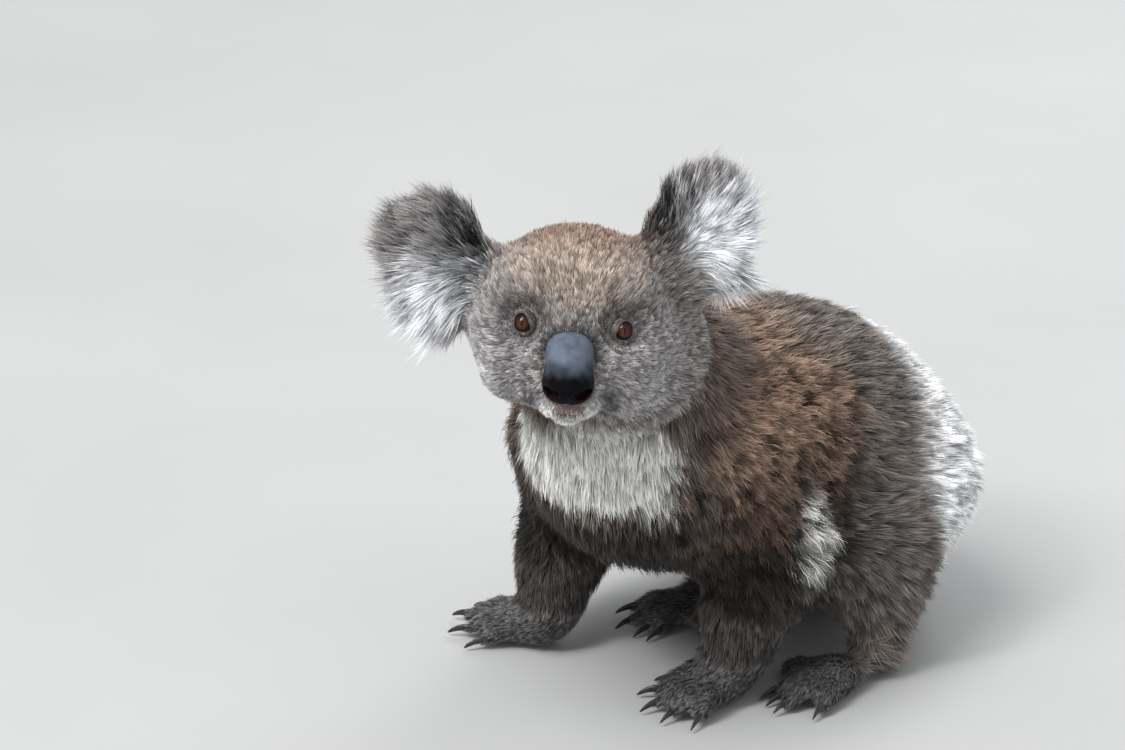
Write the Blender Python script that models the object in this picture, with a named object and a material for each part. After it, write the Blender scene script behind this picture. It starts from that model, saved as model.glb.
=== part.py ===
"""A koala doe standing crouched on all fours, her head turned to her left: a still, life-size model.

Lengths in this file are in millimetres and the finished objects are in metres. In the working frame
the floor is Z = 0, +X is the animal's left and -Y is the way her body faces, with X = Y = 0 midway
between the forefeet. The body is modelled whole, out to the tips of the coat, then parted into its
named pieces by thin cuts, and last the model is set down with its origin at the middle of its base.
"""

from math import cos, pi, radians, sin

import bmesh
import bpy
import numpy as np
import openvdb
from mathutils import Matrix, Vector

MM = 0.001
BODY_TRIANGLES = 4700
NOSE_TRIANGLES = 300
AFTER_CUTS = 0.78  # the share of the flesh's triangles kept once it is cut
GAP = 0.3  # left between pieces that touch
SOCKET_GAP = 0.42  # round a set-in piece, whose rounded faces come nearer than its corners
GRAIN = 2.5  # spacing of the samples that the body is melted together on

SIDES = {"left": 1, "right": -1}

# The spine, from the root of the neck to the rump
CHEST = Vector((2, 8, 165))
BARREL = Vector((6, 80, 162))
LOIN = Vector((12, 138, 148))
RUMP = Vector((16, 186, 114))

# Where each limb bends: shoulder, elbow and wrist, then hip, knee and heel
FORELEG = {
    "left": ((62, 4, 172), (80, 44, 110), (70, 15, 30)),
    "right": ((-58, 4, 172), (-84, 32, 108), (-81, -6, 30)),
}
HINDLEG = {
    "left": ((78, 186, 108), (106, 126, 84), (124, 114, 22)),
    "right": ((-50, 186, 108), (-60, 128, 80), (-18, 140, 22)),
}
# The way each hand and foot points, in degrees from straight ahead towards the animal's left
HAND_TURN = {"left": -16, "right": -88}
HAND_REACH = {"left": 0.84, "right": 1.0}
FOOT_TURN = {"left": -9, "right": -18}
HAND_RISE, FOOT_RISE = 14, 13  # the height of the knuckles

# Digits of a hand and a foot: where they leave the palm or sole and where they end, across (towards
# the middle of the body) and along from the wrist or heel, how thick they are, and whether clawed
FINGERS = (
    ("1", (13, 14), (33, 30), 7.0, True),
    ("2", (12, 28), (25, 52), 7.0, True),
    ("3", (4, 36), (7, 66), 7.5, True),
    ("4", (-7, 34), (-11, 64), 7.5, True),
    ("5", (-16, 26), (-27, 52), 7.0, True),
)
TOES = (
    ("1", (13, 50), (35, 57), 8.0, False),
    ("2", (11, 56), (16, 82), 6.0, True),
    ("3", (5, 58), (7, 86), 6.0, True),
    ("4", (-5, 56), (-6, 92), 8.0, True),
    ("5", (-14, 48), (-25, 78), 7.5, True),
)
# A claw: half its height at the root, how deep that sits in the digit, the arc it follows and its mesh
CLAW_THICK = 3.4
CLAW_ROOT = 0.5
CLAW_RADIUS = 26
CLAW_BEND = radians(42)
CLAW_RINGS = 4
CLAW_SIDES = 6

# The head: the point midway between the eyes, and the way the face looks
EYE_POINT = Vector((53, -134, 316))
HEAD_YAW, HEAD_PITCH, HEAD_ROLL = 39, 12, 3
EYE_SPREAD = 34  # from the middle of the face to each eye
EYE_RADIUS = 8.5


def turned(degrees, axis="Z"):
    return Matrix.Rotation(radians(degrees), 4, axis)


def head_frame():
    """A frame at the eye point whose X is forward, Y the animal's left and Z up, as the head is held."""
    yaw, pitch, roll = radians(HEAD_YAW), radians(HEAD_PITCH), radians(HEAD_ROLL)
    forward = Vector((sin(yaw) * cos(pitch), -cos(yaw) * cos(pitch), sin(pitch)))
    level_left = Vector((cos(yaw), sin(yaw), 0))
    level_up = forward.cross(level_left)
    left = level_left * cos(roll) - level_up * sin(roll)
    up = level_up * cos(roll) + level_left * sin(roll)
    frame = Matrix((forward, left, up)).transposed().to_4x4()
    frame.translation = EYE_POINT
    return frame


WORLD = Matrix.Identity(4)
HEAD = head_frame()


def add(name, mesh):
    obj = bpy.data.objects.new(name, mesh)
    bpy.context.collection.objects.link(obj)
    return obj


def apply_modifiers(obj):
    bpy.context.view_layer.update()
    evaluated = obj.evaluated_get(bpy.context.evaluated_depsgraph_get())
    mesh = bpy.data.meshes.new_from_object(evaluated)
    obj.modifiers.clear()
    obj.data = mesh
    return obj


def thinned(obj, share):
    """Keep this share of an object's triangles, the most where it bends most."""
    obj.modifiers.new("Decimate", "DECIMATE").ratio = share
    return apply_modifiers(obj)


def cut(obj, cutter):
    """Take the cutter's shape out of an object."""
    boolean = obj.modifiers.new("Cut", "BOOLEAN")
    boolean.operation = "DIFFERENCE"
    boolean.solver = "EXACT"
    boolean.object = cutter
    apply_modifiers(obj)
    bpy.data.objects.remove(cutter)


def mesh_object(name, bm):
    mesh = bpy.data.meshes.new(name)
    bm.to_mesh(mesh)
    bm.free()
    return add(name, mesh)


def grown(obj, gap):
    """A copy of an object with its surface moved out, to cut a socket that it sits in."""
    bm = bmesh.new()
    bm.from_mesh(obj.data)
    bm.normal_update()
    for vert, normal in [(v, v.normal.copy()) for v in bm.verts]:
        vert.co += normal * gap
    return mesh_object("socket", bm)


class Clay:
    """Round masses melted together on a lattice that holds the distance to their shared surface."""

    FAR = 60.0

    def __init__(self, low, high, grain=GRAIN):
        self.grain = grain
        self.low = np.array(low, np.float32)
        count = np.ceil((np.array(high) - self.low) / grain).astype(int) + 1
        self.axes = [self.low[i] + grain * np.arange(count[i], dtype=np.float32) for i in range(3)]
        self.distance = np.full(count, self.FAR, np.float32)

    def near(self, points, reach):
        """The block of the lattice within reach of some points, and where its samples lie."""
        points = np.array([tuple(p) for p in points])
        first = np.floor((points.min(0) - reach - self.low) / self.grain).astype(int)
        last = np.ceil((points.max(0) + reach - self.low) / self.grain).astype(int) + 1
        first, last = np.maximum(first, 0), np.minimum(last, self.distance.shape)
        block = tuple(slice(a, b) for a, b in zip(first, last))
        samples = [axis[part] for axis, part in zip(self.axes, block)]
        return block, np.stack(np.meshgrid(*samples, indexing="ij"), -1)

    def join(self, block, other, blend):
        """Soft union: where two surfaces meet, a fillet about as wide as the blend."""
        own = self.distance[block]
        share = np.clip(0.5 + 0.5 * (own - other) / blend, 0, 1)
        self.distance[block] = own + (other - own) * share - blend * share * (1 - share)

    def carve(self, block, other, blend):
        """Soft difference."""
        own = self.distance[block]
        share = np.clip(0.5 - 0.5 * (own + other) / blend, 0, 1)
        self.distance[block] = own + (-other - own) * share + blend * share * (1 - share)

    def mass(self, centre, radii, turn=(0, 0, 0), frame=WORLD, blend=14, cut=False):
        """An egg: an ellipsoid, turned about its own X, then Y, then Z."""
        own = frame @ Matrix.Translation(centre)
        own = own @ turned(turn[2], "Z") @ turned(turn[1], "Y") @ turned(turn[0], "X")
        block, place = self.near([own.translation], max(radii) + 2 * blend)
        local = (place - np.array(own.translation, np.float32)) @ np.array(own.to_3x3(), np.float32)
        scaled = np.sqrt(((local / np.array(radii, np.float32)) ** 2).sum(-1))
        steep = np.sqrt(((local / np.array(radii, np.float32) ** 2) ** 2).sum(-1))
        distance = scaled * (scaled - 1) / np.maximum(steep, 1e-5)
        (self.carve if cut else self.join)(block, distance, blend)

    def limb(self, *joints, frame=WORLD, blend=14, cut=False):
        """A chain of tapering lengths through (point, radius) pairs."""
        for (start, start_radius), (end, end_radius) in zip(joints, joints[1:]):
            start, end = frame @ Vector(start), frame @ Vector(end)
            block, place = self.near([start, end], max(start_radius, end_radius) + 2 * blend)
            along = np.array(end - start, np.float32)
            local = place - np.array(start, np.float32)
            share = np.clip(local @ along / (along @ along), 0, 1)
            radius = start_radius + (end_radius - start_radius) * share
            distance = np.sqrt(((local - share[..., None] * along) ** 2).sum(-1)) - radius
            (self.carve if cut else self.join)(block, distance, blend)

    def fired(self, name, triangles):
        """The surface as an object with about this many triangles, the most where it bends most."""
        grid = openvdb.FloatGrid(self.FAR)
        grid.copyFromArray(self.distance)
        points, quads = grid.convertToQuads(isovalue=0.0)
        mesh = bpy.data.meshes.new(name)
        mesh.from_pydata(points * self.grain + self.low, [], quads)
        return thinned(add(name, mesh), triangles / (2 * len(quads)))


def torso(clay):
    clay.mass(CHEST, (84, 88, 84))
    clay.mass((-2, -38, 176), (56, 54, 74), turn=(24, 0, 0))  # the breast, under the bib
    clay.mass(BARREL, (98, 100, 88), blend=30)
    clay.mass(LOIN, (106, 100, 98), blend=40)
    clay.mass(RUMP, (102, 92, 94), blend=40)
    clay.mass((16, 162, 68), (76, 90, 56), blend=30)  # the belly, hanging near the floor
    clay.mass((18, 206, 50), (76, 62, 52), blend=30)  # the seat


def neck(clay):
    clay.limb(((6, 24, 190), 86), ((22, -52, 260), 70), blend=36)


def foreleg(clay, side):
    way = SIDES[side]
    shoulder, elbow, wrist = FORELEG[side]
    clay.mass((56 * way, 12, 166), (48, 64, 68), turn=(0, 8 * way, 0), blend=30)
    middle = Vector(elbow).lerp(Vector(wrist), 0.55)
    clay.limb((shoulder, 46), (elbow, 40), (middle, 31), (wrist, 25), blend=24)


def hindleg(clay, side):
    hip, knee, heel = HINDLEG[side]
    clay.limb((hip, 62), (knee, 48), blend=34)
    clay.limb((knee, 44), (heel, 22), blend=26)


def paw_frame(point, turn):
    """On the floor under a wrist or heel: Y along the digits, X across."""
    return Matrix.Translation((point[0], point[1], 0)) @ turned(180 + turn)


def digit_points(digit, way, reach, rise):
    """Root, knuckle and tip of a digit, in its paw's frame."""
    _, root, tip, radius, _ = digit
    root = Vector((way * root[0], root[1] * reach, 0.8 * rise))
    tip = Vector((way * tip[0], tip[1] * reach, radius - 1))
    knuckle = root.lerp(tip, 0.5)
    knuckle.z = rise
    return root, knuckle, tip


def paw(clay, frame, way, digits, reach, rise):
    """The digits of a hand or foot."""
    for digit in digits:
        root, knuckle, tip = digit_points(digit, way, reach, rise)
        radius = digit[3]
        clay.limb((root, radius + 1), (knuckle, radius + 0.5), (tip, radius), frame=frame, blend=5)


def hand(clay, side):
    frame = paw_frame(FORELEG[side][2], HAND_TURN[side])
    reach = HAND_REACH[side]
    clay.mass((0, 18 * reach, 14), (22, 28 * reach, 16), frame=frame, blend=10)
    paw(clay, frame, SIDES[side], FINGERS, reach, HAND_RISE / reach)


def foot(clay, side):
    frame = paw_frame(HINDLEG[side][2], FOOT_TURN[side])
    clay.mass((0, 30, 13), (20, 42, 16), frame=frame, blend=10)
    paw(clay, frame, SIDES[side], TOES, 1, FOOT_RISE)


def head(clay):
    def mass(*args, **more):
        clay.mass(*args, frame=HEAD, **more)

    mass((-46, 0, 4), (56, 64, 58), blend=20)  # braincase
    mass((-70, 0, -20), (50, 58, 46), blend=20)  # nape
    for way in SIDES.values():
        mass((-28, 36 * way, -20), (42, 34, 38), blend=20)  # cheek
        mass((-18, 25 * way, 18), (28, 28, 24), blend=16)  # brow
    mass((-4, 0, -22), (35, 32, 31), blend=16)  # muzzle
    mass((2, 0, -47), (30, 27, 14), blend=10)  # chin and lips
    for way in SIDES.values():
        mass((16, (EYE_SPREAD + 1) * way, 0), (9, 11, 9), blend=9, cut=True)  # eye socket


def ears(clay):
    clay.mass((-50, -88, 30), (15, 41, 54), turn=(20, 0, 8), frame=HEAD, blend=8)
    clay.mass((-54, 76, 58), (15, 41, 55), turn=(-16, 0, 22), frame=HEAD, blend=8)


def eye(name, way):
    bm = bmesh.new()
    place = HEAD @ Matrix.Translation((0, EYE_SPREAD * way, 0))
    bmesh.ops.create_icosphere(bm, subdivisions=3, radius=EYE_RADIUS, matrix=place)
    return mesh_object(name, bm)


def nose():
    """The bare pad: a rounded shield from between the eyes down to the nostrils."""
    clay = Clay(*box_round(HEAD @ Vector((24, 0, -20)), 42), grain=1.5)
    clay.limb(((17, 0, -14), 16.5), ((25, 0, -30), 15.5), frame=HEAD, blend=4)
    for way in SIDES.values():
        clay.mass((40, 10 * way, -40), (7, 4.5, 4), frame=HEAD, blend=2, cut=True)  # nostril
    return clay.fired("nose_pad", NOSE_TRIANGLES)


def box_round(point, reach):
    return [c - reach for c in point], [c + reach for c in point]


def claw(name, frame, root, tip, thick):
    """A tapering hook that leaves the tip of a digit and curves down towards the floor."""
    ahead = (Vector((tip.x, tip.y, 0)) - Vector((root.x, root.y, 0))).normalized()
    side = Vector((ahead.y, -ahead.x, 0))
    start = tip + Vector((0, 0, 0.6 * thick)) - ahead * CLAW_ROOT

    def along(bend):
        return start + ahead * (CLAW_RADIUS * sin(bend)) - Vector((0, 0, CLAW_RADIUS * (1 - cos(bend))))

    bm = bmesh.new()
    rings = []
    for step in range(CLAW_RINGS):
        share = step / CLAW_RINGS
        bend = CLAW_BEND * share
        up = ahead * sin(bend) + Vector((0, 0, cos(bend)))
        size = thick * (1 - share) ** 0.6
        rings.append([
            bm.verts.new(frame @ (along(bend) + side * (0.7 * size * cos(a)) + up * (size * sin(a))))
            for a in (2 * pi * i / CLAW_SIDES for i in range(CLAW_SIDES))
        ])
    point = bm.verts.new(frame @ along(CLAW_BEND))
    bm.faces.new(rings[0])
    for near, far in zip(rings, rings[1:]):
        for i in range(CLAW_SIDES):
            j = (i + 1) % CLAW_SIDES
            bm.faces.new((near[i], near[j], far[j], far[i]))
    for i in range(CLAW_SIDES):
        bm.faces.new((rings[-1][i], rings[-1][(i + 1) % CLAW_SIDES], point))
    bmesh.ops.recalc_face_normals(bm, faces=bm.faces)
    return mesh_object(name, bm)


def claws(limb, side, frame, digits, reach, rise):
    """The claws of one hand or foot."""
    made = []
    for digit in digits:
        if digit[4]:
            root, _, tip = digit_points(digit, SIDES[side], reach, rise)
            made.append(claw(f"claw_{limb}_{side}_{digit[0]}", frame, root, tip, CLAW_THICK))
    return made


def disc(point, normal, radius):
    bm = bmesh.new()
    place = Matrix.Translation(point) @ Vector(normal).to_track_quat("Z", "Y").to_matrix().to_4x4()
    bmesh.ops.create_cone(
        bm, cap_ends=True, segments=24, radius1=radius, radius2=radius, depth=GAP, matrix=place
    )
    return mesh_object("disc", bm)


def loose_parts(obj):
    """The separate bodies in an object's mesh, each as a new mesh."""
    bm = bmesh.new()
    bm.from_mesh(obj.data)
    left = set(bm.verts)
    groups = []
    while left:
        group, edge = set(), [left.pop()]
        while edge:
            vert = edge.pop()
            group.add(vert)
            for other in (e.other_vert(vert) for e in vert.link_edges):
                if other in left:
                    left.discard(other)
                    edge.append(other)
        groups.append(group)
    bm.verts.index_update()
    indices = [{v.index for v in group} for group in groups]
    bm.free()
    meshes = []
    for keep in indices:
        part = bmesh.new()
        part.from_mesh(obj.data)
        part.verts.ensure_lookup_table()
        gone = [v for v in part.verts if v.index not in keep]
        bmesh.ops.delete(part, geom=gone, context="VERTS")
        mesh = bpy.data.meshes.new(obj.name)
        part.to_mesh(mesh)
        part.free()
        meshes.append(mesh)
    return meshes


def sever(obj, name, point, normal, radius=160):
    """Part an object with a thin disc. What lies on the normal's side of it becomes a new object."""
    cut(obj, disc(point, normal, radius))

    def side_of_disc(mesh):
        middle = sum((vert.co for vert in mesh.vertices), Vector()) / len(mesh.vertices)
        return (middle - point).dot(normal)

    bodies = sorted(loose_parts(obj), key=side_of_disc)
    assert len(bodies) == 2, f"{name}: the cut leaves {len(bodies)} bodies"
    obj.data = bodies[0]
    return add(name, bodies[1])


def sculpted():
    """The whole body of flesh, to the tips of its coat, before it is parted."""
    clay = Clay((-200, -260, -20), (200, 340, 440))
    torso(clay)
    neck(clay)
    for side in SIDES:
        foreleg(clay, side)
        hindleg(clay, side)
        hand(clay, side)
        foot(clay, side)
    head(clay)
    ears(clay)
    body = clay.fired("belly", BODY_TRIANGLES)
    below = bmesh.new()
    place = Matrix.Translation((0, 0, -20)) @ Matrix.Diagonal((900, 900, 40, 1))
    bmesh.ops.create_cube(below, size=1, matrix=place)
    cut(body, mesh_object("below", below))  # flat soles, palms and seat, all on the floor
    return body


def fixtures():
    """What sits in the flesh: the eyes, the nose pad and the claws."""
    made = [eye(f"eye_{side}", way) for side, way in SIDES.items()]
    made.append(nose())
    for side in SIDES:
        reach = HAND_REACH[side]
        palm = paw_frame(FORELEG[side][2], HAND_TURN[side])
        made += claws("hand", side, palm, FINGERS, reach, HAND_RISE / reach)
        sole = paw_frame(HINDLEG[side][2], FOOT_TURN[side])
        made += claws("foot", side, sole, TOES, 1, FOOT_RISE)
    return made


def parted(body):
    """The body's named pieces. Each cut takes one off a larger piece, at a joint where it can."""
    flesh = {"belly": body}

    def part(name, source, point, normal, radius=170):
        flesh[name] = sever(flesh[source], name, Vector(point), Vector(normal), radius)

    spin = HEAD.to_3x3()
    part("ear_left", "belly", HEAD @ Vector((-54, 66, 60)), spin @ Vector((0, 0.9, 0.45)), 66)
    part("ear_right", "belly", HEAD @ Vector((-54, -63, 28)), spin @ Vector((0, -0.97, 0.24)), 62)
    part("head", "belly", HEAD @ Vector((-72, 0, -40)), spin @ Vector((0.87, 0, 0.5)), 112)
    for side in SIDES:
        part(f"hand_{side}", "belly", Vector(FORELEG[side][2]) + Vector((0, 0, 5)), (0, 0, -1), 46)
    for side, ankle, tilt in (("left", 40, 0), ("right", 43, -0.3)):
        sole = paw_frame(HINDLEG[side][2], FOOT_TURN[side])
        ahead = sole.to_3x3() @ Vector((0, 1, tilt))
        part(f"foot_{side}", "belly", sole @ Vector((0, ankle, 10)), ahead, 38)
    part("chest", "belly", (6, 88, 150), (0, -0.98, 0.196), 250)
    part("neck", "chest", (14, -18, 224), (0.1, -0.6, 0.79))
    for side, way in SIDES.items():
        part(f"upper_arm_{side}", "chest", (56 * way, 20, 150), (way, 0.05, -0.1))
        _, elbow, wrist = FORELEG[side]
        below_elbow = Vector(elbow).lerp(Vector(wrist), 0.45)
        part(f"forearm_{side}", f"upper_arm_{side}", below_elbow, (0, -0.25, -0.97), 58)
    for side, way in SIDES.items():
        part(f"thigh_{side}", "belly", (RUMP.x + 64 * way, 180, 100), (way, -0.2, -0.2))
    part("rump", "belly", (16, 190, 120), (0, 0.96, 0.25))
    return flesh


def finish(name, colour, roughness):
    material = bpy.data.materials.new(name)
    material.use_nodes = True
    shader = material.node_tree.nodes["Principled BSDF"]
    shader.inputs["Base Color"].default_value = (*colour, 1)
    shader.inputs["Roughness"].default_value = roughness
    shader.inputs["Metallic"].default_value = 0
    return material


def set_down(pieces):
    """Turn the pieces into metres, with the origin at the middle of the base on the floor."""
    corners = np.array([vert.co for piece in pieces for vert in piece.data.vertices])
    low, high = corners.min(0), corners.max(0)
    base = Vector(((low[0] + high[0]) / 2, (low[1] + high[1]) / 2, 0))
    for piece in pieces:
        piece.data.transform(Matrix.Scale(MM, 4) @ Matrix.Translation(-base))


for old in list(bpy.data.objects):
    bpy.data.objects.remove(old)

whole = sculpted()
set_in = fixtures()
for fixture in set_in:
    cut(whole, grown(fixture, SOCKET_GAP))
pieces = set_in + [thinned(piece, AFTER_CUTS) for piece in parted(whole).values()]
set_down(pieces)

FINISHES = {
    ("eye",): finish("eye_gloss", (0.06, 0.02, 0.01), 0.05),
    ("nose",): finish("nose_leather", (0.045, 0.05, 0.06), 0.45),
    ("claw",): finish("claw_horn", (0.03, 0.025, 0.02), 0.35),
    ("belly", "upper_arm", "thigh"): finish("brown_coat", (0.13, 0.085, 0.055), 0.9),
    ("head", "ear", "forearm", "hand", "foot"): finish("grey_coat", (0.20, 0.17, 0.145), 0.9),
    ("neck", "chest", "rump"): finish("pale_coat", (0.62, 0.58, 0.52), 0.9),
}
for piece in pieces:
    piece.data.materials.clear()
    piece.data.materials.append(next(f for kinds, f in FINISHES.items() if piece.name.startswith(kinds)))
    piece.data.shade_smooth()
    piece.data.set_sharp_from_angle(angle=radians(50))
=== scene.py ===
from math import cos, degrees, pi, radians, sin

import bmesh
import bpy
import numpy as np
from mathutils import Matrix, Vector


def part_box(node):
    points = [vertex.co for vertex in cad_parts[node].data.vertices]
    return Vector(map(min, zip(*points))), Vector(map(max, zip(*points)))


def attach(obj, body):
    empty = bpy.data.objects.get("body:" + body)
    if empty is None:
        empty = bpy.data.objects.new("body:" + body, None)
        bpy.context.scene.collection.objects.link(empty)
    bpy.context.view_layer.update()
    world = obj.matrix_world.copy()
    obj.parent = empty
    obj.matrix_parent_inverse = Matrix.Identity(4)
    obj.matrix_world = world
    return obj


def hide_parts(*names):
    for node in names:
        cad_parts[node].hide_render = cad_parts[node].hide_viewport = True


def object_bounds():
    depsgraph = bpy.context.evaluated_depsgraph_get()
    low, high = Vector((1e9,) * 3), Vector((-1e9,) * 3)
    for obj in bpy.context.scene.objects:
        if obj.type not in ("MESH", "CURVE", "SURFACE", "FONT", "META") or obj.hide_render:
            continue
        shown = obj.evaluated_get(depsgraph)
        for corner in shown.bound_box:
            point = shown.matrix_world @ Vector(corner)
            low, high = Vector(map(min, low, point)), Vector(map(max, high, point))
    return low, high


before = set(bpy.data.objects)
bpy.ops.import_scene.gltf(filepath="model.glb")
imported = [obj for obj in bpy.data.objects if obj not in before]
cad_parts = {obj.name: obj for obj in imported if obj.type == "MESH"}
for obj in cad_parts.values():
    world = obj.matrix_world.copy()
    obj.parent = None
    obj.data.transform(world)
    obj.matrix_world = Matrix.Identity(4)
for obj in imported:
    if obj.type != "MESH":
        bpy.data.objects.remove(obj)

import openvdb
from mathutils import Vector, noise

# ---- The stance ----
# A grown koala doe crouched on the floor, her head turned to her left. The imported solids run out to
# the tips of her coat. Everything below hangs on them, and face features on axes through her eyes.
MM = 0.001
cad_low, cad_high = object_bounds()
HEAD_YAW, HEAD_PITCH, HEAD_ROLL = radians(39), radians(12), radians(3)


def middle(node):
    low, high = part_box(node)
    return (low + high) / 2


def head_axes():
    """Columns: the way the face looks, the animal's left, and up, as the head is held."""
    forward = Vector((sin(HEAD_YAW) * cos(HEAD_PITCH), -cos(HEAD_YAW) * cos(HEAD_PITCH), sin(HEAD_PITCH)))
    level_left = Vector((cos(HEAD_YAW), sin(HEAD_YAW), 0))
    level_up = forward.cross(level_left)
    left = level_left * cos(HEAD_ROLL) - level_up * sin(HEAD_ROLL)
    up = level_up * cos(HEAD_ROLL) + level_left * sin(HEAD_ROLL)
    return np.array((forward, left, up)).T


HEAD = head_axes()
eye_middle = np.array((middle("eye_left") + middle("eye_right")) / 2)


def in_head(points):
    """Places in millimetres ahead of, left of and above the point midway between the eyes."""
    return (points - eye_middle) @ HEAD / MM


def from_head(*place):
    return eye_middle + HEAD @ (np.array(place, float) * MM)


# ---- Skin ----
# One seamless hide over all the flesh, as deep inside the solids as the coat is thick there: a few
# millimetres on the face, hands and feet, and the length of a finger joint on the body.
FLESH = sorted(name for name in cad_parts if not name.startswith(("eye", "nose", "claw")))
COAT_DEPTH = {
    "head": 5.0, "ear": 9.5, "neck": 14, "chest": 13, "belly": 12, "rump": 13,
    "upper_arm": 12, "forearm": 8, "hand": 3, "thigh": 12, "foot": 3,
}
FACE_THINNER = 2.0  # how much less the coat is on the front of the face than on the crown
PUFF = 0.5 * MM  # how far the solids swell to close the cuts between them
GRAIN = 2.8 * MM
BAND, BAND_EDGE = 8, 21.5 * MM  # how far off the shell distances are known, in grains, and are used
FAR_OFF = 30 * MM
AT_ONCE = 400000
EASE_ROUNDS, EASE_PULL = 5, 0.6
SOFTNESS = 0.7  # how gradually one node's flesh gives way to the next


def kind(node):
    return node.replace("_left", "").replace("_right", "")


def ramp(values, low, high):
    return np.clip((values - low) / (high - low), 0, 1)


def points_of(mesh, what="co"):
    values = np.empty(len(mesh.vertices) * 3, np.float32)
    source = mesh.vertices if what == "co" else mesh.vertex_normals
    source.foreach_get("co" if what == "co" else "vector", values)
    return values.reshape(-1, 3).astype(np.float64)


def length(vectors):
    return np.linalg.norm(vectors, axis=-1)


def spread_of(node):
    """The middle of a node's surface, and the inverse of how it spreads along each direction."""
    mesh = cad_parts[node].data
    mesh.calc_loop_triangles()
    faces = np.empty(len(mesh.loop_triangles) * 3, np.int32)
    mesh.loop_triangles.foreach_get("vertices", faces)
    a, b, c = (points_of(mesh).astype(np.float32)[faces[corner::3]] for corner in range(3))
    area = length(np.cross(b - a, c - a))
    centres = (a + b + c) / 3
    centre = (centres * area[:, None]).sum(0) / area.sum()
    return centre, np.linalg.inv(np.cov((centres - centre).T, aweights=area))


SPREADS = [spread_of(node) for node in FLESH]


def shares(points):
    """How much each point belongs to each node of flesh, as rows that add up to 1."""
    far = np.empty((len(points), len(FLESH)), np.float32)
    for column, (centre, spread) in enumerate(SPREADS):
        away = points - centre
        far[:, column] = ((away @ spread) * away).sum(1)
    near = np.exp(-(far - far.min(1, keepdims=True)) / SOFTNESS)
    return near / near.sum(1, keepdims=True)


def by_kind(belonging, values):
    """A value for each point from one value for each kind of node."""
    return belonging @ np.array([values[kind(node)] for node in FLESH], np.float32)


def coat_depth(points):
    front = ramp(in_head(points)[:, 0], -30, 0)
    return by_kind(shares(points), COAT_DEPTH) - FACE_THINNER * front


def outline():
    """The solids melted into one closed shell, as a grid of distances from it."""
    bm = bmesh.new()
    for name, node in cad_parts.items():
        if not name.startswith("claw"):
            bm.from_mesh(node.data)
    bmesh.ops.remove_doubles(bm, verts=bm.verts, dist=1e-6)
    bm.normal_update()
    points = np.array([vert.co + vert.normal * PUFF for vert in bm.verts])
    faces = np.array([[vert.index for vert in face.verts] for face in bm.faces])
    bm.free()
    lattice = openvdb.createLinearTransform(voxelSize=GRAIN)
    level_set = openvdb.FloatGrid.createLevelSetFromPolygons
    points, faces = level_set(points, triangles=faces, transform=lattice).convertToQuads()
    return level_set(points, quads=faces, transform=lattice, halfWidth=BAND)


def surface_of(distances, start, grain):
    """The surface where a block of distances passes 0, as points and four-sided faces."""
    grid = openvdb.FloatGrid(FAR_OFF)
    grid.transform = openvdb.createLinearTransform(voxelSize=grain)
    grid.copyFromArray(distances.astype(np.float32), ijk=start)
    return grid.convertToQuads()


def sunk(grid):
    """The shell moved in by the depth of the coat, as points and four-sided faces."""
    low, high = grid.evalActiveVoxelBoundingBox()
    depth = np.zeros([h - l + 1 for l, h in zip(low, high)], np.float32)
    grid.copyToArray(depth, ijk=low)
    band = np.argwhere(abs(depth) < BAND_EDGE)
    places = ((band + low) * GRAIN).astype(np.float32)
    for start in range(0, len(places), AT_ONCE):
        part = slice(start, start + AT_ONCE)
        depth[tuple(band[part].T)] += coat_depth(places[part]) * MM
    return surface_of(depth, low, GRAIN)


def placed(name, data):
    """An object in the scene that holds this mesh, lamp or camera."""
    obj = bpy.data.objects.new(name, data)
    bpy.context.collection.objects.link(obj)
    return obj


def mesh_object(name, points, faces):
    mesh = bpy.data.meshes.new(name)
    mesh.from_pydata(points, [], faces)
    mesh.shade_smooth()
    return placed(name, mesh)


def object_of(bm, name):
    """A smooth object made from a bmesh, which is let go."""
    mesh = bpy.data.meshes.new(name)
    bm.to_mesh(mesh)
    bm.free()
    mesh.shade_smooth()
    return placed(name, mesh)


def eased(mesh, values, rounds):
    """Values on a mesh's points, each drawn towards its neighbours' mean as many times as asked."""
    edges = np.empty(len(mesh.edges) * 2, np.int32)
    mesh.edges.foreach_get("vertices", edges)
    start, end = edges.reshape(-1, 2).T
    count = len(mesh.vertices)
    neighbours = np.bincount(start, minlength=count) + np.bincount(end, minlength=count)
    values = values.astype(np.float64).reshape(count, -1)
    for _ in range(rounds):
        for column in values.T:
            total = np.bincount(start, column[end], count) + np.bincount(end, column[start], count)
            column += EASE_PULL * (total / neighbours - column)
    return values.squeeze()


def move_points(mesh, points):
    mesh.vertices.foreach_set("co", points.astype(np.float32).ravel())
    mesh.update()


# In the head's millimetres, the middles of the eyes, and how far back, wide, low and tall the muzzle is. It
# and the skin round the eyes get finer faces twice over, for the lips, folds and lids.
EYES = {"left": np.array((0.0, 33.0, -1.0)), "right": np.array((0.0, -31.0, 0.0))}
MUZZLE_BACK, MUZZLE_HALF, MUZZLE_LOW, MUZZLE_TALL = -4, 27, -42, 32
EYE_ROOM = 17


def near_features(places, more):
    """Which places are on the muzzle or round an eye, or this much more beyond them."""
    ahead, left, above = places.T
    near = (ahead > MUZZLE_BACK - more) & (abs(left) < MUZZLE_HALF + more)
    near &= abs(above - MUZZLE_LOW) < MUZZLE_TALL + more
    for eye in EYES.values():
        near |= length(places - eye) < EYE_ROOM + more
    return near


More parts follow.
